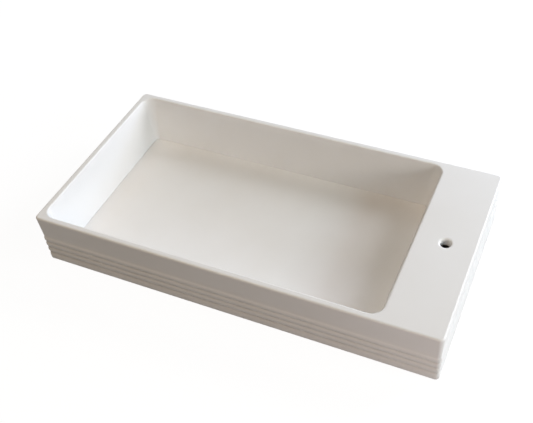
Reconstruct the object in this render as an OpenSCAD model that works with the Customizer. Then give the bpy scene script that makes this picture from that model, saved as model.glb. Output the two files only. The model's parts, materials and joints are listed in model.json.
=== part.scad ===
// Rectangular cheese mold: a bottomless mould frame with a ledge at one end stands in a grooved
// whey tray, and a loose drain floor lies in the frame. The origin is the middle of the underside,
// +X points to the ledge and +Z up. Millimetres.

/* [Cavity] */
// Length of the cavity at the rim
cavity_l = 297.5; // [220:2.5:380]
// Width of the cavity at the rim
cavity_w = 171.5; // [130:0.5:230]
// Depth of the cavity, from the rim to the drain floor
cavity_depth = 41.5; // [36:0.5:60]
// Radius of the cavity's upright corners
cavity_r = 10.5; // [8:0.5:14]
// Lean of the cavity walls from upright, degrees
draft = 13.4; // [11:0.2:16]

/* [Mould frame] */
// Width of the rim on three sides
rim_w = 5.5; // [4.2:0.1:6.5]
// Rounding of the rim's two edges
rim_r = 1.6; // [1:0.1:2]
// Width of the ledge at the +X end
ledge_w = 49; // [36:0.5:70]
// Radius of the outer upright corners
outer_r = 4; // [3.5:0.5:8]
// Height of the outer skirt, from the rim to the seam on the tray
skirt_h = 29.5; // [24:0.5:34]
// How far the outer skirt leans in between the rim and the tray
skirt_taper = 1.6; // [1:0.1:2]
// Distance from the rim's outer edge in to the skirt's inner face
skirt_w = 4; // [3.8:0.1:4.6]
// Thickness of the cavity wall, measured level
cavity_wall = 2.5; // [2:0.1:3]
// Thickness of the ledge's deck
deck_t = 3; // [2:0.1:5]
// Narrowest gap at the top of the hollow between skirt and cavity wall
hollow_gap = 1; // [0.6:0.1:2]
// Thickness of the webs and ribs that stiffen the frame
web_t = 2; // [1.2:0.1:3]
// Greatest distance between the webs round the frame
web_pitch = 50; // [30:5:80]

/* [Ledge hole] */
// Diameter of the hole in the ledge
hole_d = 8.5; // [7:0.5:14]
// Length of the hole's collar, with its lip
hole_l = 6.5; // [5:0.5:10]
// Rounding of the hole's lip
hole_lip_r = 1.3; // [0.6:0.1:2]
// Wall of the hole's collar
collar_wall = 4; // [3:0.5:6]

/* [Drain floor] */
// Thickness of the loose floor
floor_t = 2.8; // [2.4:0.1:4]
// Gap round the loose floor, where the whey runs off
floor_gap = 0.4; // [0.3:0.05:0.8]
// Width of the seat that carries the loose floor
seat_w = 5; // [3:0.5:8]
// Thickness of the seat
seat_t = 1.8; // [1.2:0.1:2.4]
// Length of each drain notch in the seat
notch_l = 14; // [8:1:20]
// Greatest distance between drain notches
notch_pitch = 30; // [26:1:50]
// Corner radius of the opening in the seat
window_r = 6; // [3:0.5:10]

/* [Beads and whey tray] */
// How far the crowns of the beads at the seam lie in from the rim's outer edge
bead_in = 0.6; // [0.4:0.1:1]
// Height of the lowest bead, which is the foot
foot_bead_h = 8.6; // [6:0.1:10]
// Rounding of the foot's lower edge
foot_r = 1.5; // [0.4:0.1:2]
// Number of beads between the foot and the seam
bead_count = 2; // [1:1:3]
// Depth of the grooves between the beads
groove_depth = 1; // [0.6:0.1:1.2]
// How far the tray leans in between the seam and its underside
tray_taper = 0.4; // [0.2:0.1:1.2]
// Height of the spigot that locates the frame, above the seam
spigot_h = 4.4; // [3:0.2:7]
// Thickness of the tray's floor
tray_floor_t = 2.2; // [1.6:0.1:3]
// Recess of the underside inside the foot ring
foot_recess = 0.6; // [0.3:0.1:1]
// Width of the foot ring
foot_w = 6; // [4:0.5:12]
// Height of the ribs that hold the drain floor off the tray
drain_h = 3.9; // [2.8:0.1:5]
// Width of those ribs
drain_rib_w = 2.4; // [1.6:0.1:4]
// Greatest distance between those ribs
drain_rib_pitch = 24; // [16:1:40]
// Corner radius inside the tray
tray_r = 3; // [2:0.5:5]

/* [Seal and fits] */
// Width of the seal
seal_w = 1.3; // [1:0.1:1.5]
// Height of the seal
seal_h = 1.6; // [1:0.1:2.4]
// Clearance between the spigot and the skirt
spigot_fit = 0.35; // [0.3:0.05:0.5]
// Clearance between the spigot and the cavity wall
spigot_clear = 0.6; // [0.4:0.1:1]
// Clearance of the seal from the spigot that it is stretched round
seal_fit = 0.1; // [0.05:0.05:0.2]
// Clearance of the seal from the skirt's rebate
rebate_fit = 0.3; // [0.2:0.05:0.4]
// Clearance of the drain ribs from the seat
rib_clear = 2; // [1:0.5:4]

/* [Hidden] */
$fn = 96;
hull_fn = 48;
sliver = 0.01;
overlap = 0.5;
past = 2;
// How far an arc stands proud of the face that it runs into, so that the two cross
arc_proud = 0.06;
white = [0.93, 0.92, 0.90];
floor_white = [0.90, 0.89, 0.87];
seal_white = [0.86, 0.87, 0.87];

// Whole hundredths, so that faces that meet have the same written size
function hundredths(x) = round(100 * x) / 100;

outer_l = rim_w + cavity_l + ledge_w;
outer_w = cavity_w + 2 * rim_w;
cavity_x = rim_w + cavity_l / 2 - outer_l / 2;
hole_x = outer_l / 2 - ledge_w / 2;

// Levels above the underside
basin_z = foot_recess + tray_floor_t;
seat_z = basin_z + drain_h;
floor_z = seat_z + floor_t;
top_z = floor_z + cavity_depth;
seam_z = top_z - skirt_h;
spigot_z = seam_z + spigot_h;
deck_z = top_z - deck_t;
collar_z = top_z - hole_l;
bead_h = (seam_z - foot_bead_h) / bead_count;

// How far the cavity wall has come in at a level, and the cavity's half length and half width there
function lean_in(z) = (top_z - z) * tan(draft);
function half_l(z) = cavity_l / 2 - lean_in(z);
function half_w(z) = cavity_w / 2 - lean_in(z);

// Faces across the joint, as distances in from the rim's outer edge
spigot_out = skirt_w + spigot_fit;
spigot_in = hundredths(rim_w - cavity_wall + lean_in(spigot_z) - spigot_clear);
seal_in = spigot_out - seal_fit;
seal_out = seal_in - seal_w;
rebate_out = seal_out - rebate_fit;
spigot_r = tray_r + spigot_in - spigot_out;
skirt_r = spigot_r + spigot_fit;
seal_r = spigot_r + seal_fit;

// Top of the hollow: where the cavity wall comes too near the skirt, or under the deck
hollow_z = min(deck_z, hundredths(top_z - (skirt_w + hollow_gap - rim_w + cavity_wall) / tan(draft)));

// Evenly spaced places along a run, no further apart than pitch, with none at its ends
function places(run, pitch) =
    let (n = ceil(run / pitch))
    [for (i = [1 : n - 1]) -run / 2 + i * run / n];

// Radius of an arc from its chord and its rise
function arc_radius(chord, rise) = (chord * chord / 4 + rise * rise) / (2 * rise);
bead_r = arc_radius(bead_h, groove_depth);

// Sweeps a profile round a rounded rectangle: its x is the distance out from the outer edge
module around(l, w, r) {
    for (k = [0 : 3]) {
        a = hundredths((k % 2 == 0 ? l : w) / 2 - r);
        b = hundredths((k % 2 == 0 ? w : l) / 2 - r);
        rotate(90 * k) translate([a, b, 0]) {
            rotate_extrude(angle = 90) translate([r, 0]) children();
            rotate([90, 0, 0]) linear_extrude(2 * b) translate([r, 0]) children();
        }
    }
}

// Solid block whose side has the given profile
module block(l, w, r, z0, z1) {
    a = hundredths(l / 2 - r);
    b = hundredths(w / 2 - r);
    around(l, w, r) children();
    translate([-a, -b, z0]) cube([2 * a, 2 * b, z1 - z0]);
}

// Upright prism on a rounded rectangle that lies a distance in from the rim's outer edge
module prism(inset, r, z0, z1) {
    block(outer_l - 2 * inset, outer_w - 2 * inset, r, z0, z1)
        translate([-r, z0]) square([r, z1 - z0]);
}

// The cavity's leaning form between two levels, grown level by a distance
module cavity_form(z0, z1, grow) {
    hull()
        for (z = [z0, z1 - sliver], sx = [-1, 1], sy = [-1, 1])
            translate([cavity_x + sx * (half_l(z) - cavity_r), sy * (half_w(z) - cavity_r), z])
                cylinder(r = cavity_r + grow, h = sliver, $fn = hull_fn);
}

// Quarter of a disc, to round an outer edge of a profile
module quarter_disc(r) {
    intersection() {
        circle(r);
        square(r);
    }
}

// Side of the skirt: a leaning face, a rounded rim edge above and a bead that stands out at the seam
module skirt_profile() {
    edge_z = seam_z + bead_h / 2;
    lean = skirt_taper / skirt_h;
    edge_x = -(top_z - edge_z) * lean;
    rim_x = hundredths(-rim_r - rim_r * lean);
    polygon([
        [-outer_r, edge_z], [edge_x, edge_z], [rim_x + rim_r, top_z - rim_r],
        [rim_x, top_z - rim_r], [rim_x, top_z], [-outer_r, top_z]
    ]);
    translate([rim_x, top_z - rim_r]) quarter_disc(rim_r);
    intersection() {
        translate([-bead_in - bead_r, edge_z]) circle(bead_r);
        translate([-outer_r, seam_z]) square([outer_r, bead_h]);
    }
}

// Rounding of the rim's inner edge along the leaning wall, as the piece to cut away
module rim_cut_profile() {
    middle = (rim_r - rim_r * sin(draft) - arc_proud) / cos(draft);
    tangent_z = top_z - rim_r + rim_r * sin(draft);
    difference() {
        translate([-past, tangent_z]) square([middle + past, top_z + past - tangent_z]);
        translate([middle, top_z - rim_r]) circle(rim_r);
    }
}

// Side of the whey tray: a foot with a rounded lower edge, then beads that are arcs between grooves
module tray_profile() {
    function face_x(z) = -bead_in - tray_taper * (seam_z - z) / seam_z;
    foot_x = hundredths(face_x(foot_r));
    crown_z = foot_bead_h / 2;
    foot_bead_r = arc_radius(foot_bead_h, groove_depth);
    polygon([
        [-outer_r, 0], [foot_x - foot_r, 0], [foot_x - foot_r, foot_r], [foot_x, foot_r],
        [face_x(crown_z), crown_z], [-outer_r, crown_z]
    ]);
    translate([foot_x - foot_r, foot_r]) rotate(-90) quarter_disc(foot_r);
    intersection() {
        translate([face_x(crown_z) + arc_proud - foot_bead_r, crown_z]) circle(foot_bead_r);
        translate([-outer_r, foot_r]) square([outer_r, foot_bead_h - foot_r]);
    }
    for (i = [0 : bead_count - 1]) {
        low = foot_bead_h + i * bead_h;
        groove_low = [face_x(low) - groove_depth, low];
        groove_high = [face_x(low + bead_h) - groove_depth, low + bead_h];
        polygon([[-outer_r, low], groove_low, groove_high, [-outer_r, low + bead_h]]);
        intersection() {
            translate([face_x(low + bead_h / 2) - bead_r, low + bead_h / 2]) circle(bead_r);
            translate([-outer_r, low]) square([outer_r, bead_h]);
        }
    }
}

// The hollow between the skirt and the cavity wall, open below, with the seal's rebate
module frame_hollow() {
    prism(skirt_w, skirt_r, seam_z - past, hollow_z);
    intersection() {
        prism(skirt_w, skirt_r, seam_z - past, deck_z);
        translate([cavity_x + cavity_l / 2, -outer_w / 2, seam_z - past])
            cube([ledge_w, outer_w, top_z]);
    }
    prism(rebate_out, skirt_r + skirt_w - rebate_out, seam_z - past, seam_z + seal_h);
}

// Webs that tie the skirt to the cavity wall, above the spigot
module frame_webs() {
    low = spigot_z + spigot_clear;
    reach = skirt_w - overlap;
    depth = cavity_r;
    for (x = places(cavity_l - 2 * cavity_r, web_pitch), s = [-1, 1])
        translate([cavity_x + x - web_t / 2, s * (outer_w / 2 - reach - depth / 2) - depth / 2, low])
            cube([web_t, depth, hollow_z + overlap - low]);
    for (y = places(cavity_w - 2 * cavity_r, web_pitch))
        translate([reach - outer_l / 2, y - web_t / 2, low])
            cube([depth, web_t, hollow_z + overlap - low]);
}

// Collar of the ledge hole and the two ribs that cross at it under the deck
module ledge_ribs() {
    rib_h = deck_z + overlap - collar_z;
    rib_x = cavity_x + cavity_l / 2;
    translate([hole_x, 0, collar_z]) cylinder(d = hole_d + 2 * collar_wall, h = rib_h);
    translate([rib_x, -web_t / 2, collar_z])
        cube([outer_l / 2 - skirt_w + overlap - rib_x, web_t, rib_h]);
    translate([hole_x - web_t / 2, skirt_w - overlap - outer_w / 2, collar_z])
        cube([web_t, outer_w - 2 * (skirt_w - overlap), rib_h]);
}

// The hole in the ledge, with its rounded lip
module ledge_hole() {
    translate([hole_x, 0, collar_z - past]) cylinder(d = hole_d, h = hole_l + 2 * past);
    translate([hole_x, 0, top_z]) rotate_extrude() difference() {
        translate([0, -hole_lip_r]) square([hole_d / 2 + hole_lip_r, hole_lip_r + past]);
        translate([hole_d / 2 + hole_lip_r, -hole_lip_r]) circle(hole_lip_r);
    }
}

// Opening in the seat, with the notches that let the whey past the loose floor
module seat_opening() {
    low = seat_z - seat_t - past;
    high = seat_t + past + overlap;
    open_l = 2 * (half_l(seat_z) - seat_w);
    open_w = 2 * (half_w(seat_z) - seat_w);
    translate([cavity_x, 0, 0])
        block(open_l, open_w, window_r, low, low + high)
            translate([-window_r, low]) square([window_r, high]);
    for (x = places(open_l, notch_pitch))
        translate([cavity_x + x - notch_l / 2, -half_w(seat_z), low])
            cube([notch_l, 2 * half_w(seat_z), seat_z - low]);
    for (y = places(open_w, notch_pitch))
        translate([cavity_x - half_l(seat_z), y - notch_l / 2, low])
            cube([2 * half_l(seat_z), notch_l, seat_z - low]);
}

module mould_frame() {
    color(white) difference() {
        union() {
            difference() {
                block(outer_l, outer_w, outer_r, seam_z, top_z) skirt_profile();
                frame_hollow();
            }
            frame_webs();
            ledge_ribs();
            cavity_form(seat_z - seat_t, deck_z + overlap, cavity_wall);
        }
        cavity_form(seat_z, top_z + past, 0);
        translate([cavity_x, 0, 0])
            around(cavity_l, cavity_w, cavity_r) rim_cut_profile();
        seat_opening();
        ledge_hole();
    }
}

module drain_floor() {
    color(floor_white) cavity_form(seat_z, floor_z, -floor_gap);
}

module whey_tray() {
    rib_l = 2 * (half_l(seat_z) - seat_w - rib_clear);
    color(white) {
        difference() {
            union() {
                block(outer_l, outer_w, outer_r, 0, seam_z) tray_profile();
                prism(spigot_out, spigot_r, basin_z, spigot_z);
            }
            prism(spigot_in, tray_r, basin_z, spigot_z + past);
            prism(bead_in + tray_taper + foot_w, tray_r, -past, foot_recess);
        }
        for (y = places(2 * (half_w(seat_z) - seat_w), drain_rib_pitch))
            translate([cavity_x - rib_l / 2, y - drain_rib_w / 2, basin_z - overlap])
                cube([rib_l, drain_rib_w, drain_h + overlap]);
    }
}

module tray_seal() {
    color(seal_white) difference() {
        prism(seal_out, seal_r + seal_w, seam_z, seam_z + seal_h);
        prism(seal_in, seal_r, seam_z - past, seam_z + seal_h + past);
    }
}

mould_frame();
drain_floor();
whey_tray();
tray_seal();
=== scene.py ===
# %% [markdown]
# # A cheese mold in four pieces
# The object is a white moulded cheese mold. A bottomless frame with a leaning cavity and a pierced ledge
# stands on a grooved whey tray, a loose drain floor lies in the frame, and a soft ring seals the seam.
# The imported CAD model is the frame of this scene: it is loaded first, and every mesh below is built in
# its coordinates, in metres, so that nothing has to be moved into place afterwards.

# %% Load the frame
import json
from math import acos, asin, atan2, ceil, cos, degrees, hypot, pi, radians, sin, tan

import bmesh
import bpy
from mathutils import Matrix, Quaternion, Vector
from mathutils.geometry import delaunay_2d_cdt


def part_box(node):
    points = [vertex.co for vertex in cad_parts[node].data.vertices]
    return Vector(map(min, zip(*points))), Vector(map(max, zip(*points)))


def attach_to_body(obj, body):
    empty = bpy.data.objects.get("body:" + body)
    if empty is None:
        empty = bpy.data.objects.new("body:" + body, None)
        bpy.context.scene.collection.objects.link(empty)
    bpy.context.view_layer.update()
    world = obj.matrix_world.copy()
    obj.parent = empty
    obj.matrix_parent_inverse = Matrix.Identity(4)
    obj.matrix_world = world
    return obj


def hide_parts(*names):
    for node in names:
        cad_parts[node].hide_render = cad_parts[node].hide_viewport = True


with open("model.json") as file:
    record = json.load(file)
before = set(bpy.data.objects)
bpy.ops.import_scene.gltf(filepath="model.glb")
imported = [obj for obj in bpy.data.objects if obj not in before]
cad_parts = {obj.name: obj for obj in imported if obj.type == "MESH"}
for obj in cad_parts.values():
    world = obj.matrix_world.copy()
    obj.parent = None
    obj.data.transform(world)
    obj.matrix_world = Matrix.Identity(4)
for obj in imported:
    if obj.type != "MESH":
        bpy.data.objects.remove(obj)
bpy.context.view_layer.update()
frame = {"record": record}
scene = bpy.context.scene

# %% [markdown]
# ## Sizes
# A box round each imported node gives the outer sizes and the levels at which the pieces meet. What a box
# can't give, such as radii, wall thicknesses and the lean of the walls, is named here once, in
# millimetres. Each shape below is worked out from these, so the visual model keeps to the CAD model.

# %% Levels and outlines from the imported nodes
MM = 0.001
_, frame_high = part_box("mould_frame")
floor_low, floor_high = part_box("drain_floor")
tray_low, tray_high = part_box("whey_tray")
seal_low, seal_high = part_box("tray_seal")
mounts = {mount["name"]: mount for mount in frame["record"]["mounts"]}

rim_z, floor_z, seat_z = frame_high.z, floor_high.z, floor_low.z
seam_z, spigot_z = seal_low.z, tray_high.z
cavity_x = (floor_low.x + floor_high.x) / 2
hole_x = mounts["ledge_hole"]["pos_m"][0]
hole_r = mounts["ledge_hole"]["dims"]["r_mm"] * MM
print("rim", round(rim_z / MM, 1), "floor", round(floor_z / MM, 1), "seam", round(seam_z / MM, 1), "mm")

# %% Radii, walls and fits of the moulding
DRAFT = radians(13.4)
outer_r, rim_r, tray_r = 4 * MM, 1.6 * MM, 3 * MM
cavity_r, floor_r = 10.5 * MM, 4 * MM
skirt_taper, tray_taper, groove_depth, arc_proud = 1.6 * MM, 0.4 * MM, 1 * MM, 0.06 * MM
bead_in, foot_bead_h, foot_r = 0.6 * MM, 8.6 * MM, 1.5 * MM
foot_w, foot_recess = 6 * MM, 0.6 * MM
bead_count = 2
bead_h = (seam_z - foot_bead_h) / bead_count
cavity_wall, skirt_w, deck_t, hollow_gap = 2.5 * MM, 4 * MM, 3 * MM, 1 * MM
collar_wall, collar_h, lip_r = 4 * MM, 6.5 * MM, 1.8 * MM
seat_w, seat_t, window_r, floor_gap = 5 * MM, 1.8 * MM, 6 * MM, 0.4 * MM
web_t, web_pitch, notch_l, notch_pitch = 2 * MM, 50 * MM, 14 * MM, 30 * MM
rib_w, rib_pitch, rib_clear, basin_z = 2.4 * MM, 24 * MM, 2 * MM, 2.8 * MM
spigot_clear, spigot_fit, rebate_out, seal_w = 0.6 * MM, 0.35 * MM, -2.65 * MM, 1.3 * MM
deck_z, collar_z = rim_z - deck_t, rim_z - collar_h
SKIRT_LEAN = atan2(skirt_taper, rim_z - seam_z)
half_l = frame_high.x + rim_r * tan(SKIRT_LEAN)
half_w = frame_high.y + rim_r * tan(SKIRT_LEAN)


def lean_in(z):
    """How far the cavity wall has come in at a level."""
    return (rim_z - z) * tan(DRAFT)


def corner_r(z):
    """Radius of the cavity's upright corners at a level, which narrows from the rim to the floor."""
    return cavity_r - (cavity_r - floor_r) * (rim_z - z) / (rim_z - floor_z)


cavity_half_l = (floor_high.x - floor_low.x) / 2 + floor_gap + lean_in(floor_z)
cavity_half_w = (floor_high.y - floor_low.y) / 2 + floor_gap + lean_in(floor_z)
print("cavity at the rim", round(2 * cavity_half_l / MM, 1), "x", round(2 * cavity_half_w / MM, 1), "mm")

# %% [markdown]
# ## Node trees
# Finishes and repeated shapes are both node trees, and both are built in the same two moves: add a node
# with its settings, then feed its inputs with values or with the outputs of other nodes. Two small
# helpers do this, so that a tree reads from top to bottom like a recipe.

# %% Helpers for node trees
COLOR, VALUE, WHOLE = "NodeSocketColor", "NodeSocketFloat", "NodeSocketInt"
VECTOR, SHAPE, FINISH = "NodeSocketVector", "NodeSocketGeometry", "NodeSocketMaterial"


def new_group(name, kind, inputs, outputs):
    """Makes a node group with named sockets; returns it with its input and output nodes' sockets."""
    tree = bpy.data.node_groups.new(name, kind)
    for label, socket in inputs.items():
        tree.interface.new_socket(label, in_out="INPUT", socket_type=socket)
    for label, socket in outputs.items():
        tree.interface.new_socket(label, in_out="OUTPUT", socket_type=socket)
    return tree, tree.nodes.new("NodeGroupInput").outputs, tree.nodes.new("NodeGroupOutput").inputs


def add(tree, kind, inputs, **settings):
    """Adds a node, applies its settings, feeds its inputs and returns its outputs."""
    made = tree.nodes.new(kind)
    for name, value in settings.items():
        setattr(made, name, value)
    for key, value in inputs.items():
        for source in value if isinstance(value, list) else [value]:
            if isinstance(source, bpy.types.NodeSocket):
                tree.links.new(source, made.inputs[key])
            else:
                made.inputs[key].default_value = source
    return made.outputs


def mixed(tree, share, first, second):
    """Mixes two colours by a share."""
    return add(tree, "ShaderNodeMix", {0: share, 6: first, 7: second}, data_type="RGBA")[2]


def spread(tree, value, low, high, to_low=0.0, to_high=1.0):
    """Stretches a range of a value to another range, and clamps it there."""
    return add(tree, "ShaderNodeMapRange", {0: value, 1: low, 2: high, 3: to_low, 4: to_high})[0]


def math(tree, operation, *values):
    """Puts values through a sum, product or the like."""
    return add(tree, "ShaderNodeMath", dict(enumerate(values)), operation=operation)[0]


print("socket kinds:", COLOR, VALUE, WHOLE, VECTOR, SHAPE, FINISH)

# %% [markdown]
# ## Finishes
# Moulded white plastic looks flat if it is given one colour. The real one has slow clouds of tone from
# the melt, a faint orange peel from the mould's skin, patches that are a little duller, and hairlines
# from washing. Each of these is a shader group with named inputs, made once and used by every piece
# with its own values. A group gives out only what changes over the surface; constants stay on the shader.

# %% Group: moulded skin
FLECK = (0.62, 0.58, 0.53, 1)


def make_moulded_skin():
    """Clouds of tone, flecks, dull patches and orange peel of a moulded surface."""
    inputs = {"Base Color": COLOR, "Cloud Color": COLOR, "Roughness": VALUE}
    outputs = {"Color": COLOR, "Roughness": VALUE, "Height": VALUE}
    tree, give, take = new_group("moulded_skin", "ShaderNodeTree", inputs, outputs)
    place = add(tree, "ShaderNodeTexCoord", {})["Object"]

    def noise(scale, detail):
        return add(tree, "ShaderNodeTexNoise", {"Vector": place, "Scale": scale, "Detail": detail})["Fac"]

    clouds = spread(tree, noise(17, 3), 0.3, 0.72)
    tone = mixed(tree, clouds, give["Base Color"], give["Cloud Color"])
    flecks = spread(tree, noise(1900, 1), 0.66, 0.8, 0, 0.1)
    tree.links.new(mixed(tree, flecks, tone, FLECK), take["Color"])
    dullness = spread(tree, noise(120, 4), 0.25, 0.75, -0.05, 0.07)
    tree.links.new(math(tree, "ADD", give["Roughness"], dullness), take["Roughness"])
    tree.links.new(math(tree, "MULTIPLY_ADD", noise(36, 1), 6.0, noise(800, 2)), take["Height"])
    return tree


moulded_skin = make_moulded_skin()
print("group:", moulded_skin.name, len(moulded_skin.nodes), "nodes")


# %% Group: hairlines from washing
def make_hairlines():
    """Sparse fine lines in two directions, from noise that is drawn out to threads."""
    tree, give, take = new_group("hairlines", "ShaderNodeTree", {"Amount": VALUE}, {"Mask": VALUE})
    place = add(tree, "ShaderNodeTexCoord", {})["Object"]
    masks = []
    for turn, shift in ((0.35, 0.0), (-0.9, 4.0)):
        drawn = {"Location": (shift, shift, shift), "Rotation": (0, 0, turn), "Scale": (14, 1600, 300)}
        along = add(tree, "ShaderNodeMapping", {"Vector": place, **drawn})["Vector"]
        threads = add(tree, "ShaderNodeTexNoise", {"Vector": along, "Scale": 1, "Detail": 1})["Fac"]
        masks.append(spread(tree, threads, 0.68, 0.78))
    both = math(tree, "MAXIMUM", *masks)
    tree.links.new(math(tree, "MULTIPLY", both, give["Amount"]), take["Mask"])
    return tree


hairlines = make_hairlines()
print("group:", hairlines.name, len(hairlines.nodes), "nodes")


# %% Group: painted shade in the grooves, and worn edges with a painted highlight
def make_shade_highlight_and_wear():
    """Painted shade in the grooves, and edges that hands have polished smoother and that carry a lighter
    painted highlight, both painted on the points.
    """
    inputs = {"Color": COLOR, "Film Color": COLOR, "Rubbed Color": COLOR, "Roughness": VALUE}
    outputs = {"Color": COLOR, "Roughness": VALUE}
    tree, give, take = new_group("film_and_rub", "ShaderNodeTree", inputs, outputs)
    place = add(tree, "ShaderNodeTexCoord", {})["Object"]
    uneven = add(tree, "ShaderNodeTexNoise", {"Vector": place, "Scale": 60, "Detail": 3})["Fac"]
    groove_shade_mask = add(tree, "ShaderNodeAttribute", {}, attribute_name="recess")["Fac"]
    rub = add(tree, "ShaderNodeAttribute", {}, attribute_name="rub")["Fac"]
    # Painted shade: the grooves' colour is darkened towards the groove shade colour.
    groove_shade_share = math(tree, "MULTIPLY", groove_shade_mask, spread(tree, uneven, 0.25, 0.7, 0.2, 0.45))
    # Painted highlight: the worn rounded edges are lightened; their lower roughness is the wear.
    worn_highlight_share = math(tree, "MULTIPLY", rub, spread(tree, uneven, 0.3, 0.75, 0.2, 0.8))
    groove_shaded_color = mixed(tree, groove_shade_share, give["Color"], give["Film Color"])
    tree.links.new(mixed(tree, worn_highlight_share, groove_shaded_color, give["Rubbed Color"]), take["Color"])
    polished = math(tree, "MULTIPLY_ADD", worn_highlight_share, -0.1, give["Roughness"])
    tree.links.new(math(tree, "MULTIPLY_ADD", groove_shade_share, 0.2, polished), take["Roughness"])
    return tree


film_and_rub = make_shade_highlight_and_wear()
print("group:", film_and_rub.name, len(film_and_rub.nodes), "nodes")

# %% White plastic and soft silicone
# A darker colour painted as shade in the grooves, and a lighter colour painted as a highlight on the worn
# edges.
GROOVE_SHADE_COLOR, EDGE_HIGHLIGHT_COLOR = (0.5, 0.45, 0.38, 1), (0.88, 0.87, 0.855, 1)
PLASTIC_IOR = 1.49


def moulded_finish(name, base, cloud, roughness, scratches, relief):
    """Material of a moulded piece: its skin, its painted groove shade, its worn edges with a painted
    highlight, and its hairlines.
    """
    material = bpy.data.materials.new(name)
    material.use_nodes = True
    tree = material.node_tree
    shader = tree.nodes["Principled BSDF"].inputs
    skin_values = {"Base Color": base, "Cloud Color": cloud, "Roughness": roughness}
    skin = add(tree, "ShaderNodeGroup", skin_values, node_tree=moulded_skin)
    shade_and_wear_inputs = {"Color": skin["Color"], "Roughness": skin["Roughness"]}
    shade_and_highlight_colors = {"Film Color": GROOVE_SHADE_COLOR, "Rubbed Color": EDGE_HIGHLIGHT_COLOR}
    shaded_and_worn = add(tree, "ShaderNodeGroup", {**shade_and_wear_inputs, **shade_and_highlight_colors}, node_tree=film_and_rub)
    lines = add(tree, "ShaderNodeGroup", {"Amount": scratches}, node_tree=hairlines)["Mask"]
    height = math(tree, "MULTIPLY_ADD", lines, -1.0, skin["Height"])
    bump = add(tree, "ShaderNodeBump", {"Distance": relief, "Height": height})["Normal"]
    tree.links.new(shaded_and_worn["Color"], shader["Base Color"])
    tree.links.new(math(tree, "MULTIPLY_ADD", lines, 0.25, shaded_and_worn["Roughness"]), shader["Roughness"])
    tree.links.new(bump, shader["Normal"])
    shader["IOR"].default_value = PLASTIC_IOR
    return material


white, warm_white = (0.85, 0.843, 0.832, 1), (0.82, 0.808, 0.788, 1)
pale_grey, milky_grey = (0.78, 0.79, 0.79, 1), (0.7, 0.71, 0.7, 1)
frame_finish = moulded_finish("satin_white_frame", white, warm_white, 0.42, 0.35, 0.004 * MM)
floor_finish = moulded_finish("satin_white_floor", white, warm_white, 0.42, 0.8, 0.004 * MM)
tray_finish = moulded_finish("satin_white_tray", white, warm_white, 0.44, 0.35, 0.004 * MM)
seal_finish = moulded_finish("soft_silicone", pale_grey, milky_grey, 0.55, 0.1, 0.008 * MM)
print("finishes:", [finish.name for finish in (frame_finish, floor_finish, tray_finish, seal_finish)])

# %% [markdown]
# ## Rings and lofts
# A moulding like this is all rounded rectangles, one above the other. A loft is a good way to build it: a
# profile gives a list of rings, every ring has as many points, and four-sided faces join each ring to
# the next. Level faces that have a hole are filled by a constrained triangulation, which needs no
# boolean and leaves the roundings beside them untouched.

# %% Rounded rectangles with matching points
ARC_STEPS, LONG_STEPS, SHORT_STEPS = 12, 36, 20


def rounded_rectangle(half_x, half_y, radius, middle_x=0.0):
    """Points of a rounded rectangle, anticlockwise from its +X side, always as many of them."""
    corners = []
    for k, (side_x, side_y) in enumerate(((1, 1), (-1, 1), (-1, -1), (1, -1))):
        centre = Vector((middle_x + side_x * (half_x - radius), side_y * (half_y - radius)))
        turns = [pi / 2 * (k + step / ARC_STEPS) for step in range(ARC_STEPS + 1)]
        corners.append([centre + radius * Vector((cos(turn), sin(turn))) for turn in turns])
    points = []
    for k, corner in enumerate(corners):
        steps = SHORT_STEPS if k % 2 else LONG_STEPS
        following = corners[(k + 1) % 4]
        side = following[0] - corner[-1]
        points += corner
        points += [corner[-1] + side * (i / steps) for i in range(1, steps)]
    return points


def outer_ring(out, z, radius=None):
    """Ring at a distance out from the rim's outer edge, which is negative inside it."""
    plan = rounded_rectangle(half_l + out, half_w + out, outer_r + out if radius is None else radius)
    return [Vector((x, y, z)) for x, y in plan]


def cavity_ring(out, z, radius):
    """Ring at a distance out from the cavity's edge at the rim."""
    plan = rounded_rectangle(cavity_half_l + out, cavity_half_w + out, radius, cavity_x)
    return [Vector((x, y, z)) for x, y in plan]


def arc(centre, radius, start, end, steps):
    """Points of an arc in a profile, from one angle to another in degrees."""
    turns = [radians(start + (end - start) * i / steps) for i in range(steps + 1)]
    return [(centre[0] + radius * cos(turn), centre[1] + radius * sin(turn)) for turn in turns]


def line(start, end, steps):
    """Points along a straight stretch of a profile, without its first one."""
    return [tuple(Vector(start).lerp(Vector(end), i / steps)) for i in range(1, steps + 1)]


print("points in a ring:", len(outer_ring(0, 0)))

# %% Lofts and level fills
MERGE = 1e-8


def bridge(bm, first, second):
    """Joins two rings of vertices with four-sided faces."""
    for i in range(len(first)):
        k = (i + 1) % len(first)
        bm.faces.new((first[i], first[k], second[k], second[i]))


def loft(bm, rings):
    """Makes the rings' vertices, joins each ring to the next and returns the rings of vertices."""
    loops = [[bm.verts.new(point) for point in ring] for ring in rings]
    for first, second in zip(loops, loops[1:]):
        bridge(bm, first, second)
    return loops


def within(point, loop):
    """Whether a point lies inside a loop of vertices, seen from above."""
    inside = False
    for a, b in zip(loop, loop[1:] + loop[:1]):
        if (a.co.y > point.y) != (b.co.y > point.y):
            crossing = a.co.x + (point.y - a.co.y) / (b.co.y - a.co.y) * (b.co.x - a.co.x)
            inside ^= point.x < crossing
    return inside


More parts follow.
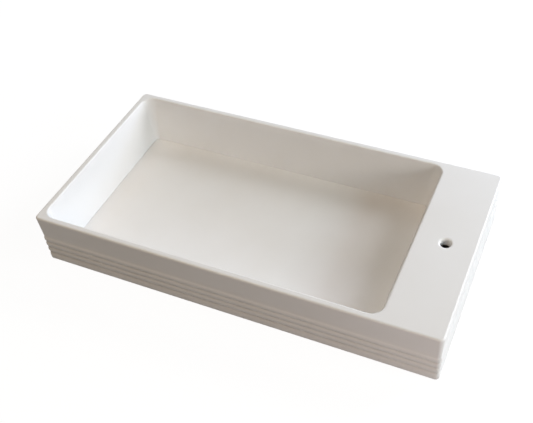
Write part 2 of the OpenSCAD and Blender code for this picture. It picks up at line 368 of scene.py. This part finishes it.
def fill_level(bm, outline, holes=(), inner=()):
    """Fills a level outline with triangles, leaving its holes open; inner vertices join the net."""
    loops = [outline, *holes]
    verts = [v for loop in loops for v in loop] + list(inner)
    edges = []
    start = 0
    for loop in loops:
        edges += [(start + i, start + (i + 1) % len(loop)) for i in range(len(loop))]
        start += len(loop)
    _, _, triangles, origin, _, _ = delaunay_2d_cdt([v.co.xy for v in verts], edges, [], 0, MERGE)
    for triangle in triangles:
        corners = [verts[origin[i][0]] for i in triangle]
        middle = sum((v.co.xy for v in corners), Vector((0, 0))) / 3
        if within(middle, outline) and not any(within(middle, hole) for hole in holes):
            bm.faces.new(corners)


def outward_mesh(bm, mesh):
    """Writes a bmesh to a mesh with its faces outwards, and says if it isn't closed."""
    bmesh.ops.recalc_face_normals(bm, faces=bm.faces)
    loose = sum(1 for edge in bm.edges if len(edge.link_faces) != 2)
    bm.to_mesh(mesh)
    bm.free()
    print(mesh.name, len(mesh.vertices), "points,", len(mesh.polygons), "faces, open edges:", loose)


def piece(name, bm, finish):
    """Puts a bmesh into the scene as an object at the origin, with its finish."""
    mesh = bpy.data.meshes.new(name + "_shell")
    outward_mesh(bm, mesh)
    mesh.materials.append(finish)
    made = bpy.data.objects.new(name, mesh)
    scene.collection.objects.link(made)
    return made


# %% [markdown]
# ## Rows of ribs and notches
# Ribs and notches repeat at even steps, which is what Geometry Nodes are good at. One tree sets equal
# blocks in a row and joins them to a piece or cuts them out of it. Its count, first place, step, size
# and turn are inputs, so a piece can carry the same tree several times, once for each of its rows.


# %% Tree: a row of blocks, joined or cut
def combine(tree, give, row, operation):
    """Ends a tree: makes a row of instances real, joins or cuts it, and sets the finish."""
    blocks = add(tree, "GeometryNodeRealizeInstances", {"Geometry": row})["Geometry"]
    meshes = {"Mesh 1": give["Shape"], "Mesh 2": blocks}
    if operation == "UNION":
        meshes = {"Mesh 2": [give["Shape"], blocks]}
    shape = add(tree, "GeometryNodeMeshBoolean", meshes, operation=operation, solver="MANIFOLD")["Mesh"]
    return add(tree, "GeometryNodeSetMaterial", {"Geometry": shape, "Material": give["Finish"]})["Geometry"]


def row_of(tree, give, block):
    """Sets a shape in a row, from a first place and by a step."""
    run = {"Count": give["Count"], "Start Location": give["First"], "Offset": give["Step"]}
    spots = add(tree, "GeometryNodeMeshLine", run, mode="OFFSET")["Mesh"]
    return add(tree, "GeometryNodeInstanceOnPoints", {"Points": spots, "Instance": block})["Instances"]


def make_block_row(name, operation):
    """Tree that joins a row of equal blocks to a shape, or cuts it out."""
    inputs = {"Shape": SHAPE, "Count": WHOLE, "First": VECTOR, "Step": VECTOR}
    inputs |= {"Size": VECTOR, "Turn": VECTOR, "Finish": FINISH}
    tree, give, take = new_group(name, "GeometryNodeTree", inputs, {"Shape": SHAPE})
    block = add(tree, "GeometryNodeMeshCube", {"Size": give["Size"]})["Mesh"]
    turned = add(tree, "GeometryNodeTransform", {"Geometry": block, "Rotation": give["Turn"]})["Geometry"]
    tree.links.new(combine(tree, give, row_of(tree, give, turned), operation), take["Shape"])
    return tree


joined_blocks = make_block_row("joined_blocks", "UNION")
cut_blocks = make_block_row("cut_blocks", "DIFFERENCE")
print("trees:", joined_blocks.name, cut_blocks.name)

# %% Using a tree on a piece
SHARP_ANGLE = radians(30)


def attach(made, tree, **values):
    """Gives a piece a Geometry Nodes modifier and sets its inputs by their identifiers."""
    modifier = made.modifiers.new(tree.name, "NODES")
    modifier.node_group = tree
    for socket in tree.interface.items_tree:
        name = socket.name.replace(" ", "_")
        if socket.in_out == "INPUT" and name in values:
            modifier[socket.identifier] = values[name]


def places(run, pitch):
    """Count, first place and step of even places along a run, no further apart than the pitch."""
    parts = ceil(run / pitch)
    return parts - 1, run / parts - run / 2, run / parts


def settle(made):
    """Turns a piece and its modifiers into one plain mesh, with soft shading between sharp edges."""
    evaluated = made.evaluated_get(bpy.context.evaluated_depsgraph_get())
    mesh = bpy.data.meshes.new_from_object(evaluated)
    mesh.name = made.name
    made.modifiers.clear()
    made.data = mesh
    bm = bmesh.new()
    bm.from_mesh(mesh)
    outward_mesh(bm, mesh)
    mesh.shade_smooth()
    mesh.set_sharp_from_angle(angle=SHARP_ANGLE)


def paint(made, name, rule):
    """Writes a value from 0 to 1 on every point of a piece, by a rule on the point's place."""
    values = made.data.attributes.new(name, "FLOAT", "POINT").data
    painted = 0
    for vert, value in zip(made.data.vertices, values):
        value.value = min(max(rule(vert.co), 0), 1)
        painted += value.value > 0
    print(made.name, name, "on", painted, "points")


# %% [markdown]
# ## Mould frame
# The frame carries everything that shows: the soft rim, the ledge with its hole, the leaning cavity
# walls and the plain skirt above the grooves. It could be cut out of a block with booleans, but the
# roundings would then have ragged shading. Here its section is walked once round: up the outside, over
# the rim, down the cavity, in along the seat, and back up through the hollow between the two walls.

# %% The frame's outer side
EDGE_HOLD = 0.35 * MM
bead_r = (bead_h ** 2 / 4 + groove_depth ** 2) / (2 * groove_depth)


def skirt_side():
    """Profile of the skirt as (out, level): bead, leaning face, rounded rim edge and the flat top."""
    edge_z = seam_z + bead_h / 2
    reach = bead_in + bead_r - (rim_z - edge_z) * tan(SKIRT_LEAN)
    low = -degrees(asin(bead_h / 2 / bead_r))
    high = degrees(acos(reach * cos(SKIRT_LEAN) / bead_r) - SKIRT_LEAN)
    bead = arc((-bead_in - bead_r, edge_z), bead_r, low, high, 12)
    rim_in = -rim_r - rim_r * tan(SKIRT_LEAN)
    rounding = arc((rim_in, rim_z - rim_r), rim_r, 0, 90, 8)
    face = line(bead[-1], rounding[0], 5)
    return bead + face + rounding[1:] + [(rim_in - EDGE_HOLD, rim_z)]


print("skirt profile points:", len(skirt_side()))


# %% The frame's cavity side, seat and hollow
def cavity_side():
    """Profile of the cavity as (out, level): flat top, rounded edge and the leaning wall to the seat."""
    centre = (rim_r * (1 - sin(DRAFT)) / cos(DRAFT), rim_z - rim_r)
    rounding = arc(centre, rim_r, 90, 180 - degrees(DRAFT), 8)
    wall = line(rounding[-1], (-lean_in(seat_z), seat_z), 8)
    return [(centre[0] + EDGE_HOLD, rim_z)] + rounding + wall


rim_w = half_l + cavity_x - cavity_half_l
hollow_z = rim_z - (skirt_w + hollow_gap - rim_w + cavity_wall) / tan(DRAFT)
spigot_in = rim_w - cavity_wall + lean_in(spigot_z) - spigot_clear
spigot_out = skirt_w + spigot_fit
skirt_inner_r = tray_r + spigot_in - skirt_w
# For each point of a ring, how much of the way up to the deck it rises: all of it along the ledge
ledge_share = (
    [1 - i / ARC_STEPS for i in range(ARC_STEPS + 1)]
    + [0] * (2 * (LONG_STEPS - 1) + (SHORT_STEPS - 1) + 2 * (ARC_STEPS + 1))
    + [i / ARC_STEPS for i in range(ARC_STEPS + 1)]
    + [1] * (SHORT_STEPS - 1)
)


def between_levels(low_ring, high_ring):
    """Ring that follows the low ring and rises to the high one along the ledge."""
    return [a.lerp(b, share) for a, b, share in zip(low_ring, high_ring, ledge_share)]


def wall_back(z):
    """Ring on the hidden side of the cavity wall."""
    return cavity_ring(cavity_wall - lean_in(z), z, corner_r(z) + cavity_wall)


def seat_ring(z):
    """Ring round the opening in the seat."""
    return cavity_ring(-lean_in(seat_z) - seat_w, z, window_r)


print("hollow ends", round((rim_z - hollow_z) / MM, 1), "mm below the rim")

# %% The hole in the ledge
HOLE_STEPS = 64


def circle(radius, z):
    """Ring round the axis of the ledge hole."""
    turns = [2 * pi * i / HOLE_STEPS for i in range(HOLE_STEPS)]
    return [Vector((hole_x + radius * cos(turn), radius * sin(turn), z)) for turn in turns]


def hole_side():
    """Profile of the hole as (radius, level): rounded lip, bore and the collar under the deck."""
    lip = arc((hole_r + lip_r, rim_z - lip_r), lip_r, 90, 180, 8)
    bore = line(lip[-1], (hole_r, collar_z), 3)
    collar = [(hole_r + collar_wall, collar_z), (hole_r + collar_wall, deck_z)]
    return [(hole_r + lip_r + EDGE_HOLD, rim_z)] + lip + bore + collar


print("hole", round(2 * hole_r / MM, 1), "mm wide, points in its profile:", len(hole_side()))

# %% Build the frame's shell
BACK_STEPS = 4


def frame_shell():
    """Closed bmesh of the whole frame, without its ribs and notches."""
    bm = bmesh.new()
    outside = loft(bm, [outer_ring(out, z) for out, z in skirt_side()])
    cavity = [cavity_ring(out, z, corner_r(z) + max(out, 0)) for out, z in cavity_side()]
    seat_low = seat_z - seat_t
    seat = [seat_ring(seat_z), seat_ring(seat_low), wall_back(seat_low)]
    rise = (hollow_z - seat_low) / BACK_STEPS
    backs = [wall_back(seat_low + i * rise) for i in range(1, BACK_STEPS)]
    wall_top = between_levels(wall_back(hollow_z), wall_back(deck_z))
    inside = loft(bm, cavity + seat + backs + [wall_top])
    low_top, high_top = (outer_ring(-skirt_w, z, skirt_inner_r) for z in (hollow_z, deck_z))
    rebate_r = skirt_inner_r + skirt_w + rebate_out
    skirt_back = loft(bm, [
        between_levels(low_top, high_top), outer_ring(-skirt_w, seal_high.z, skirt_inner_r),
        outer_ring(rebate_out, seal_high.z, rebate_r), outer_ring(rebate_out, seam_z, rebate_r),
    ])
    bridge(bm, skirt_back[-1], outside[0])
    hole = loft(bm, [circle(radius, z) for radius, z in hole_side()])
    fill_level(bm, outside[-1], [inside[0], hole[0]])
    first = len(ledge_share) - SHORT_STEPS
    for i in range(first):
        bm.faces.new((inside[-1][i], inside[-1][i + 1], skirt_back[0][i + 1], skirt_back[0][i]))
    ledge = [*range(first, len(ledge_share)), 0]
    outline = [inside[-1][i] for i in ledge] + [skirt_back[0][i] for i in reversed(ledge)]
    fill_level(bm, outline, [hole[-1]])
    return bm


frame_piece = piece("frame_moulding", frame_shell(), frame_finish)

# %% [markdown]
# Webs tie the skirt to the cavity wall in the hollow between them. The wall leans, so each web is a
# block that leans with it: it starts inside the skirt, ends inside the wall and shows in neither.

# %% Webs between the two walls
BITE = 0.5 * MM


def join_row(count, first, step, size, turn=(0, 0, 0)):
    """Joins a row of blocks, given by their middles, to the frame."""
    row = {"Count": count, "First": first, "Step": step, "Size": size, "Turn": turn}
    attach(frame_piece, joined_blocks, Finish=frame_finish, **row)


web_low, web_high = spigot_z + 2 * spigot_clear, hollow_z + 2 * BITE
web_z, web_h = (web_low + web_high) / 2, web_high - web_low
web_near = web_h / 2 * tan(DRAFT) + 2 * BITE
web_far = rim_w - cavity_wall / 2 + lean_in(web_z)
web_in, web_depth = (web_near + web_far) / 2, (web_far - web_near) * cos(DRAFT)
count, first, step = places(2 * (cavity_half_l - cavity_r), web_pitch)
for side in (-1, 1):
    start = (cavity_x + first, side * (half_w - web_in), web_z)
    join_row(count, start, (step, 0, 0), (web_t, web_depth, web_h), (-side * DRAFT, 0, 0))
print("webs on each long side:", count)
count, first, step = places(2 * (cavity_half_w - cavity_r), web_pitch)
start = (web_in - half_l, first, web_z)
join_row(count, start, (0, step, 0), (web_depth, web_t, web_h), (0, -DRAFT, 0))
print("webs on the short side:", count)

# %% Ribs under the ledge
rib_low, rib_high = collar_z, deck_z + BITE
rib_z, rib_h = (rib_low + rib_high) / 2, rib_high - rib_low
rib_start = hole_r + collar_wall / 2
for near, far in (
    (hole_x + rib_start, half_l - skirt_w + BITE),
    (cavity_x + cavity_half_l, hole_x - rib_start),
):
    join_row(1, ((near + far) / 2, 0, rib_z), (0, 0, 0), (far - near, web_t, rib_h))
rib_end = half_w - skirt_w + BITE
middle_y = (rib_start + rib_end) / 2
join_row(2, (hole_x, -middle_y, rib_z), (0, 2 * middle_y, 0), (web_t, rib_end - rib_start, rib_h))
print("ledge ribs reach", round(rib_end / MM, 1), "mm from the middle")

# %% Notches in the seat
NOTCH_SHY, NOTCH_OVER = 0.2 * MM, 0.3 * MM
seat_half_l, seat_half_w = cavity_half_l - lean_in(seat_z), cavity_half_w - lean_in(seat_z)
notch_low, notch_high = seat_z - seat_t - NOTCH_OVER, seat_z + NOTCH_OVER
notch_z, notch_h = (notch_low + notch_high) / 2, notch_high - notch_low


def cut_row(count, first, step, size):
    """Cuts a row of blocks, given by their middles, out of the frame."""
    attach(frame_piece, cut_blocks, Count=count, First=first, Step=step, Size=size, Finish=frame_finish)


count, first, step = places(2 * (seat_half_l - seat_w), notch_pitch)
size = (notch_l, 2 * (seat_half_w - NOTCH_SHY), notch_h)
cut_row(count, (cavity_x + first, 0, notch_z), (step, 0, 0), size)
print("notches on each long side:", count)
count, first, step = places(2 * (seat_half_w - seat_w), notch_pitch)
size = (2 * (seat_half_l - NOTCH_SHY), notch_l, notch_h)
cut_row(count, (cavity_x, first, notch_z), (0, step, 0), size)
print("notches on each short side:", count)
settle(frame_piece)

# %% Where the frame's edges are worn and get a painted highlight, and where painted shade lies in the grooves
SKIN_DEPTH = 2.5 * MM
# Reach of the worn edges that also carry a painted highlight.
WEAR_HIGHLIGHT_DEPTH, WEAR_HIGHLIGHT_FADE = 0.9 * rim_r, 0.5 * rim_r
OUTER_WEAR_HIGHLIGHT, CAVITY_WEAR_HIGHLIGHT, LIP_WEAR_HIGHLIGHT = 1.07 * rim_r, 0.8 * rim_r, 1.02 * lip_r


def beyond(place, half_x, half_y, radius, middle_x=0.0):
    """How far a place lies outside a rounded rectangle, seen from above; negative inside."""
    x, y = abs(place.x - middle_x) - half_x + radius, abs(place.y) - half_y + radius
    return hypot(max(x, 0), max(y, 0)) + min(max(x, y), 0) - radius


def groove_share(z):
    """How deep a level of the outside lies between the beads, from 0 on a crown to 1 in a groove."""
    if z > seam_z + bead_h / 2:
        return 0
    height, start = (foot_bead_h, 0) if z < foot_bead_h else (bead_h, foot_bead_h)
    off_crown = abs((z - start) % height - height / 2) / (height / 2)
    return off_crown ** 2 if z > foot_bead_h / 2 else 0


def skin_groove_shade(place):
    """Painted shade in the grooves of the outer skin."""
    on_skin = beyond(place, half_l, half_w, outer_r) > -SKIN_DEPTH
    return groove_share(place.z) if on_skin else 0


def rim_wear_and_highlight(place):
    """Wear and a painted highlight on the two rounded edges of the rim and on the lip of the hole."""
    if place.z < rim_z - WEAR_HIGHLIGHT_DEPTH:
        return 0
    past_rim = beyond(place, half_l, half_w, outer_r) + OUTER_WEAR_HIGHLIGHT
    past_cavity = CAVITY_WEAR_HIGHLIGHT - beyond(place, cavity_half_l, cavity_half_w, cavity_r, cavity_x)
    past_lip = hole_r + LIP_WEAR_HIGHLIGHT - hypot(place.x - hole_x, place.y)
    return max(past_rim, past_cavity, past_lip) / WEAR_HIGHLIGHT_FADE


# Painted shade in the frame's grooves.
paint(frame_piece, "recess", skin_groove_shade)
# Wear and a painted highlight on the rim's rounded edges and the hole's lip.
paint(frame_piece, "rub", rim_wear_and_highlight)

# %% [markdown]
# ## Drain floor
# The floor is a loose plate that lies on the seat with a thin gap all round, where the whey runs off. A
# moulded plate this large is never dead flat, and the photo shows it in the soft, slightly wavy
# reflections. So its top is a net of triangles with a slow wave of a few hundredths of a millimetre.

# %% Build the drain floor
FLOOR_EDGE_R, FLOOR_SHY = 0.15 * MM, 0.15 * MM
WAVE, SWAY = 0.05 * MM, 1.3
WAVE_X, SWAY_Y, WAVE_Y, SLANT_X = 19 * MM, 31 * MM, 23 * MM, 47 * MM
NET = 8 * MM


def floor_wave(x, y):
    """Height of the slow wave in the floor's top, which dies out towards its edges."""
    across = (1 - ((x - cavity_x) / cavity_half_l) ** 2) * (1 - (y / cavity_half_w) ** 2)
    ripple = sin(x / WAVE_X + SWAY * sin(y / SWAY_Y))
    return WAVE * across * (ripple + sin(y / WAVE_Y + x / SLANT_X))


def floor_plate():
    """Closed bmesh of the loose floor, with softened edges."""
    bm = bmesh.new()
    low = arc((-FLOOR_EDGE_R, seat_z + FLOOR_EDGE_R), FLOOR_EDGE_R, -90, 0, 4)
    high = arc((-FLOOR_EDGE_R, floor_z - FLOOR_EDGE_R), FLOOR_EDGE_R, 0, 90, 5)
    profile = low + high + [(-FLOOR_EDGE_R - EDGE_HOLD, floor_z)]
    rings = []
    for out, z in profile:
        rings.append(cavity_ring(out - FLOOR_SHY - lean_in(z), z, corner_r(z) - FLOOR_SHY + out))
    loops = loft(bm, rings)
    fill_level(bm, loops[0])
    room = NET / 2 + floor_gap + lean_in(floor_z)
    reach_l, reach_w = int((cavity_half_l - room) / NET), int((cavity_half_w - room) / NET)
    spots = [(i * NET, j * NET) for i in range(-reach_l, reach_l + 1) for j in range(-reach_w, reach_w + 1)]
    spots = [Vector((cavity_x + x, y, floor_z)) for x, y in spots]
    net = [bm.verts.new(spot) for spot in spots if within(spot, loops[-1])]
    fill_level(bm, loops[-1], inner=net)
    for vert in net:
        vert.co.z += floor_wave(vert.co.x, vert.co.y) - 2 * WAVE
    return bm


floor_piece = piece("floor_plate", floor_plate(), floor_finish)
settle(floor_piece)

# %% [markdown]
# ## Whey tray
# The tray is the grooved band below the seam. Its beads are arcs with narrow grooves between them, its
# foot is straight with a small rounded edge, and a spigot stands up inside the frame's skirt. All of it
# is one loft again, from the recessed underside, up the outside, over the spigot and down into the basin.


# %% The tray's outer side
def tray_face(z):
    """Distance out of the tray's leaning side at a level."""
    return -bead_in - tray_taper * (seam_z - z) / seam_z


def tray_side():
    """Profile of the tray as (out, level): foot, beads and grooves up to the seam."""
    crown_z = foot_bead_h / 2
    foot_bead_r = (foot_bead_h ** 2 / 4 + groove_depth ** 2) / (2 * groove_depth)
    foot = tray_face(foot_r)
    profile = arc((foot - foot_r, foot_r), foot_r, -90, 0, 6)
    run_out = degrees(acos(1 - arc_proud / foot_bead_r))
    top = degrees(asin(crown_z / foot_bead_r))
    centre = (tray_face(crown_z) + arc_proud - foot_bead_r, crown_z)
    profile += arc(centre, foot_bead_r, -run_out, top, 10)
    half_turn = degrees(asin(bead_h / 2 / bead_r))
    for i in range(bead_count):
        middle = foot_bead_h + (i + 0.5) * bead_h
        profile += arc((tray_face(middle) - bead_r, middle), bead_r, -half_turn, half_turn, 14)[i > 0:]
    return profile


print("tray profile points:", len(tray_side()))

# %% Build the tray's shell
spigot_r = tray_r + spigot_in - spigot_out
SPIGOT_EDGE = 0.5 * MM


def whey_tray():
    """Closed bmesh of the tray, without its drain ribs."""
    bm = bmesh.new()
    ring_edge = -bead_in - tray_taper - foot_w
    rings = [outer_ring(ring_edge, z, tray_r) for z in (foot_recess, 0)]
    rings += [outer_ring(out, z) for out, z in tray_side()]
    rings += [outer_ring(-spigot_out, z, spigot_r) for z in (seam_z, spigot_z - SPIGOT_EDGE)]
    rings += [
        outer_ring(-spigot_out - SPIGOT_EDGE, spigot_z, spigot_r - SPIGOT_EDGE),
        outer_ring(-spigot_in + SPIGOT_EDGE, spigot_z, tray_r + SPIGOT_EDGE),
        outer_ring(-spigot_in, spigot_z - SPIGOT_EDGE, tray_r),
    ]
    fillet = arc((-spigot_in - SPIGOT_EDGE, basin_z + SPIGOT_EDGE), SPIGOT_EDGE, 0, -90, 4)
    rings += [outer_ring(out, z, tray_r + spigot_in + out) for out, z in fillet]
    loops = loft(bm, rings)
    fill_level(bm, loops[0])
    fill_level(bm, loops[-1])
    return bm


tray_piece = piece("tray_moulding", whey_tray(), tray_finish)

# %% [markdown]
# The ribs that hold the floor off the basin are bars with rounded edges. Swept along a line, a filleted
# rectangle gives such a bar without any bevel, and the same row as before sets it in place.


# %% Tree: swept bars and rings with a rounded section
def rounded_outline(tree, width, height, radius, steps):
    """Rectangle with rounded corners, as a curve."""
    size = {"Width": width, "Height": height}
    sharp = add(tree, "GeometryNodeCurvePrimitiveQuadrilateral", size)["Curve"]
    rounding = {"Curve": sharp, "Radius": radius, "Count": steps}
    return add(tree, "GeometryNodeFilletCurve", rounding, mode="POLY")["Curve"]


def swept(tree, path, section, caps):
    """Sweeps a section along a path, with the section's height kept upright."""
    upright = add(tree, "GeometryNodeSetCurveNormal", {"Curve": path}, mode="Z_UP")["Curve"]
    ends = {"Curve": upright, "Profile Curve": section, "Fill Caps": caps}
    return add(tree, "GeometryNodeCurveToMesh", ends)["Mesh"]


def make_bar_row():
    """Tree that joins a row of round-edged bars to a shape."""
    inputs = {"Shape": SHAPE, "Count": WHOLE, "First": VECTOR, "Step": VECTOR, "Reach": VECTOR}
    inputs |= {"Width": VALUE, "Height": VALUE, "Edge Radius": VALUE, "Finish": FINISH}
    tree, give, take = new_group("joined_bars", "GeometryNodeTree", inputs, {"Shape": SHAPE})
    path = add(tree, "GeometryNodeCurvePrimitiveLine", {"End": give["Reach"]})["Curve"]
    section = rounded_outline(tree, give["Width"], give["Height"], give["Edge Radius"], 4)
    bar = swept(tree, path, section, True)
    tree.links.new(combine(tree, give, row_of(tree, give, bar), "UNION"), take["Shape"])
    return tree


joined_bars = make_bar_row()
count, first, step = places(2 * (seat_half_w - seat_w), rib_pitch)
bar_reach = 2 * (seat_half_l - seat_w - rib_clear)
bar_low = basin_z - BITE
attach(
    tray_piece, joined_bars, Count=count, First=(cavity_x - bar_reach / 2, first, (bar_low + seat_z) / 2),
    Step=(0, step, 0), Reach=(bar_reach, 0, 0), Width=rib_w, Height=seat_z - bar_low,
    Edge_Radius=0.3 * rib_w, Finish=tray_finish,
)
settle(tray_piece)
# Painted shade in the tray's grooves.
paint(tray_piece, "recess", skin_groove_shade)
print("drain ribs:", count, "of", round(bar_reach / MM), "mm")

# %% [markdown]
# ## Seal
# The seal is a soft ring that lies on the tray's shoulder, round the spigot and inside the frame's skirt.
# Its shape follows one rule, a small rounded section swept round a rounded rectangle, so a tree makes
# the whole piece, and its inputs are the sizes that a seal is ordered by.


# %% Tree and piece: the seal ring
def make_ring():
    """Tree of a ring with a rounded section."""
    inputs = {"Length": VALUE, "Width": VALUE, "Corner Radius": VALUE, "Level": VECTOR}
    inputs |= {"Section Width": VALUE, "Section Height": VALUE, "Edge Radius": VALUE, "Finish": FINISH}
    tree, give, take = new_group("sealing_ring", "GeometryNodeTree", inputs, {"Shape": SHAPE})
    path = rounded_outline(tree, give["Length"], give["Width"], give["Corner Radius"], ARC_STEPS)
    section = rounded_outline(tree, give["Section Width"], give["Section Height"], give["Edge Radius"], 4)
    ring = swept(tree, path, section, False)
    lift = {"Geometry": ring, "Translation": give["Level"]}
    raised = add(tree, "GeometryNodeTransform", lift)["Geometry"]
    real = add(tree, "GeometryNodeRealizeInstances", {"Geometry": raised})["Geometry"]
    done = add(tree, "GeometryNodeSetMaterial", {"Geometry": real, "Material": give["Finish"]})["Geometry"]
    tree.links.new(done, take["Shape"])
    return tree


seal_piece = piece("seal_ring", bmesh.new(), seal_finish)
seal_h = seal_high.z - seal_low.z
attach(
    seal_piece, make_ring(), Length=2 * seal_high.x - seal_w, Width=2 * seal_high.y - seal_w,
    Corner_Radius=spigot_r + seal_w / 2, Level=(0, 0, seal_low.z + seal_h / 2),
    Section_Width=seal_w, Section_Height=seal_h, Edge_Radius=0.3 * seal_w, Finish=seal_finish,
)
settle(seal_piece)

# %% [markdown]
# ## Hand the pieces to the bodies
# Each piece takes the place of one CAD node and rides on the body that the node belongs to, so that the
# frame can lift off the tray and the floor out of the frame.

# %% Ride and replace
for made, body, node, slot in (
    (frame_piece, "frame", "mould_frame", "frame_plastic"),
    (floor_piece, "floor", "drain_floor", "floor_plastic"),
    (tray_piece, "tray", "whey_tray", "tray_plastic"),
    (seal_piece, "tray", "tray_seal", "seal_silicone"),
):
    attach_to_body(made, body)
    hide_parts(node)
    size = made.dimensions / MM
    print(made.name, "for", node, "on", body, [round(v, 1) for v in size], "mm")

# %% [markdown]
# ## Stage
# The photo is a cut-out on white. To rays from the camera and to reflections, the world is plain white at
# a strength of 1, and the floor is a glow a little below that plus a thin matt layer, which brings it up
# to white where it is lit and leaves a faint shadow beside the object. Further out the glow rises to white,
# so that no horizon shows. To all other rays the floor is a table of a middle tone and the world is nearly
# dark, so that the lamps alone shape the light.

# %% Floor and world
FLOOR_GLOW, FLOOR_MATT = 0.93, 0.12
NEAR, FAR = 0.4, 1.2
TABLE_TONE, ROOM_TONE = (0.35, 0.33, 0.31, 1), (0.004, 0.004, 0.004, 1)


def seen_share(tree):
    """1 for rays from the camera, reflections and rays through glass, and 0 for the rest."""
    path = add(tree, "ShaderNodeLightPath", {})
    glossy = math(tree, "MAXIMUM", path["Is Glossy Ray"], path["Is Transmission Ray"])
    return math(tree, "MAXIMUM", path["Is Camera Ray"], glossy)


stage_finish = bpy.data.materials.new("stage_white")
stage_finish.use_nodes = True
stage_tree = stage_finish.node_tree
stage_tree.nodes.remove(stage_tree.nodes["Principled BSDF"])
seen = seen_share(stage_tree)
thin = (FLOOR_MATT, FLOOR_MATT, FLOOR_MATT, 1)
matt_color = mixed(stage_tree, seen, TABLE_TONE, thin)
matt = add(stage_tree, "ShaderNodeBsdfDiffuse", {"Color": matt_color})[0]
spot = add(stage_tree, "ShaderNodeTexCoord", {})["Object"]
far_out = add(stage_tree, "ShaderNodeVectorMath", {0: spot}, operation="LENGTH")["Value"]
level = spread(stage_tree, far_out, NEAR, FAR, FLOOR_GLOW, 1.0)
glow = add(stage_tree, "ShaderNodeEmission", {"Strength": math(stage_tree, "MULTIPLY", seen, level)})[0]
surface = add(stage_tree, "ShaderNodeAddShader", {0: matt, 1: glow})[0]
stage_tree.links.new(surface, stage_tree.nodes["Material Output"].inputs["Surface"])

STAGE_HALF, STAGE_DROP = 4.0, 0.2 * MM
stage_bm = bmesh.new()
bmesh.ops.create_grid(stage_bm, x_segments=1, y_segments=1, size=STAGE_HALF)
bmesh.ops.translate(stage_bm, verts=stage_bm.verts, vec=(0, 0, tray_low.z - STAGE_DROP))
stage_floor = piece("stage_floor", stage_bm, stage_finish)

world = bpy.data.worlds.new("room")
scene.world = world
world.use_nodes = True
room = world.node_tree
ambient = room.nodes["Background"]
ambient.inputs["Color"].default_value = ROOM_TONE
plain = add(room, "ShaderNodeBackground", {"Color": (1, 1, 1, 1), "Strength": 1})[0]
shown = add(room, "ShaderNodeMixShader", {0: seen_share(room), 1: ambient.outputs[0], 2: plain})[0]
room.links.new(shown, room.nodes["World Output"].inputs["Surface"])
print("stage", 2 * STAGE_HALF, "m wide")

# %% [markdown]
# ## Light
# The photo is lit by windows on the right and behind, low enough to brighten the ledge's end, to light the
# left wall of the cavity and to throw a wide soft shadow of the ledge on the floor. The front is in shade:
# warm light from the room reaches it from above, and something pale on the table brightens its right end.
# So mostly cool lamps stand for the windows, one high warm lamp for the room and a small near one for the
# glow from the table.

# %% Lamps
middle = Vector((0, 0, rim_z / 2))
WINDOW_REACH, TABLE_REACH = 1.3, 0.37


def soft_lamp(name, turn, rise, reach, size, watts, tint):
    """Square lamp at a turn from +X, a rise in degrees and a reach, which looks at the object's middle."""
    lamp = bpy.data.lights.new(name, "AREA")
    lamp.shape = "SQUARE"
    lamp.size = size
    lamp.energy = watts
    lamp.color = tint
    made = bpy.data.objects.new(name, lamp)
    made.visible_camera = False
    scene.collection.objects.link(made)
    across, up = reach * cos(radians(rise)), reach * sin(radians(rise))
    made.location = (across * cos(radians(turn)), across * sin(radians(turn)), up)
    made.rotation_mode = "QUATERNION"
    made.rotation_quaternion = (middle - made.location).to_track_quat("-Z", "Y")
    print(name, watts, "W")


sky, daylight, haze = (0.68, 0.78, 1), (0.75, 0.92, 1), (0.95, 0.96, 1)
sunlight, lamplight, table = (1, 0.91, 0.83), (1, 0.82, 0.63), (1, 0.88, 0.91)
for name, turn, rise, size, watts, tint in (
    ("window_right", 2, 28, 0.25, 4.28, daylight),
    ("window_right_low", -20, 18, 0.25, 3.36, sunlight),
    ("window_middle", 45, 30, 0.55, 9.06, haze),
    ("window_back", 70, 18, 0.25, 6.32, sky),
    ("window_far", 135, 38, 0.55, 1.4, daylight),
    ("room", 225, 62, 0.55, 5.43, lamplight),
):
    soft_lamp(name, turn, rise, WINDOW_REACH, size, watts, tint)
soft_lamp("table_glow", -49, 5, TABLE_REACH, 0.1, 0.105, table)

# %% [markdown]
# ## Camera
# The camera stands in front and to the right, and looks down on the tray. Its lens and place come from
# the edges of the tray in the photo; the small shift and roll keep the same framing.

# %% Camera
ROLL = radians(-4.16)
camera_data = bpy.data.cameras.new("camera")
camera = bpy.data.objects.new("camera", camera_data)
scene.collection.objects.link(camera)
scene.camera = camera
camera_data.sensor_width = 36
camera_data.lens = 54.97
camera_data.shift_x, camera_data.shift_y = -0.0478, -0.03
camera.location = (0.2335, -0.434, 0.5263)
aim = Vector((0.017, 0.0083, 0.0504))
camera.rotation_mode = "QUATERNION"
look = (aim - camera.location).to_track_quat("-Z", "Y")
camera.rotation_quaternion = look @ Quaternion((0, 0, 1), ROLL)
print("camera", round((aim - camera.location).length, 3), "m from the rim")

# %% [markdown]
# ## View transform
# The visual model keeps to the CAD model's box. The last line sets the standard view transform.

# %% Set the view transform
scene.view_settings.view_transform = "Standard"
